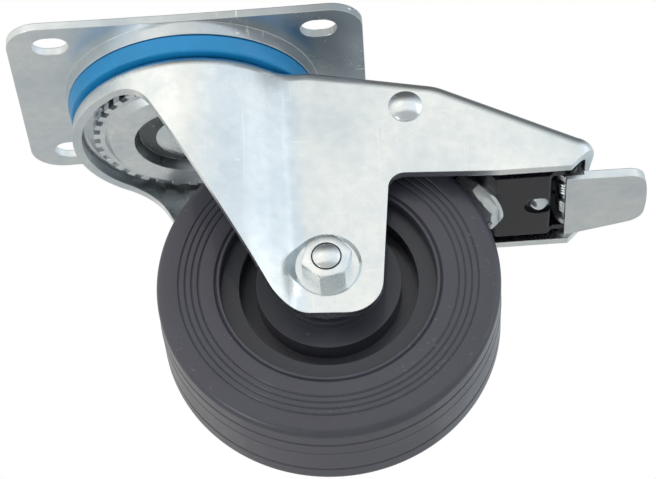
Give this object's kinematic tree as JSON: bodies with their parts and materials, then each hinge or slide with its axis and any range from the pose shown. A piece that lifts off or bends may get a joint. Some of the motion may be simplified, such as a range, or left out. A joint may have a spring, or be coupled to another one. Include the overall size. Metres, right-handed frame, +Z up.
{
  "type": "swivel castor",
  "caption": "Plate-mounted swivel castor with a solid rubber wheel and a foot-operated brake that stops both wheel and swivel.",
  "frame": {"origin": "centre of the top plate's mounting face, on the swivel axis", "axes": "+Z up out of the mounting face; +X towards the brake pedal, the side the wheel trails to; Y along the axle"},
  "size_m": [0.1867, 0.079, 0.1286],
  "materials": {
    "zinc_steel": "bright zinc-plated pressed steel",
    "black_steel": "gloss black coating",
    "blue_plastic": "satin blue moulding",
    "tyre_rubber": "dark blue-grey rubber",
    "rim_plastic": "black moulded plastic",
    "bearing_steel": "polished bearing steel",
    "cage_plastic": "grey moulded plastic",
    "spring_steel": "bright spring wire"
  },
  "bodies": {
    "mounting": {"top_plate": "zinc_steel", "dust_ring": "blue_plastic", "kingpin": "zinc_steel", "lock_disc": "zinc_steel"},
    "fork": {"fork": "zinc_steel", "upper_balls": "bearing_steel", "lower_balls": "bearing_steel", "brake_pivot": "zinc_steel", "axle_bolt": "zinc_steel", "axle_nut": "zinc_steel", "axle_tube": "zinc_steel", "hub_washers": "zinc_steel"},
    "wheel": {"tyre": "tyre_rubber", "wheel_centre": "rim_plastic", "bearing_cage": "cage_plastic", "bearing_rollers": "bearing_steel"},
    "brake_lever": {"brake_arm": "black_steel", "brake_bolt": "zinc_steel", "brake_washer": "zinc_steel", "brake_lock_nut": "zinc_steel", "lock_pawl": "zinc_steel", "pawl_rivet": "zinc_steel", "floor_rivet": "zinc_steel", "pedal_pin": "zinc_steel", "pedal_springs": "spring_steel"},
    "pedal": {"pedal": "zinc_steel"}
  },
  "joints": [
    {"name": "swivel", "type": "hinge", "parent": "mounting", "child": "fork", "pos_m": [0, 0, 0], "axis": [0, 0, 1], "continuous": true},
    {"name": "wheel_spin", "type": "hinge", "parent": "fork", "child": "wheel", "pos_m": [0.038, 0, -0.0786], "axis": [0, 1, 0], "continuous": true},
    {"name": "brake", "type": "hinge", "parent": "fork", "child": "brake_lever", "pos_m": [0.0639, 0, -0.0276], "axis": [0, 1, 0], "range_deg": [0, 3.6], "stiffness_Nm_per_rad": 1, "springref_deg": -5.73},
    {"name": "pedal_turn", "type": "hinge", "parent": "brake_lever", "child": "pedal", "pos_m": [0.1103, 0, -0.0466], "axis": [0, 1, 0], "range_deg": [0, 21.6]}
  ],
  "couplings": [
    {"joint": "pedal_turn", "follows": "brake", "ratio": 6}
  ]
}
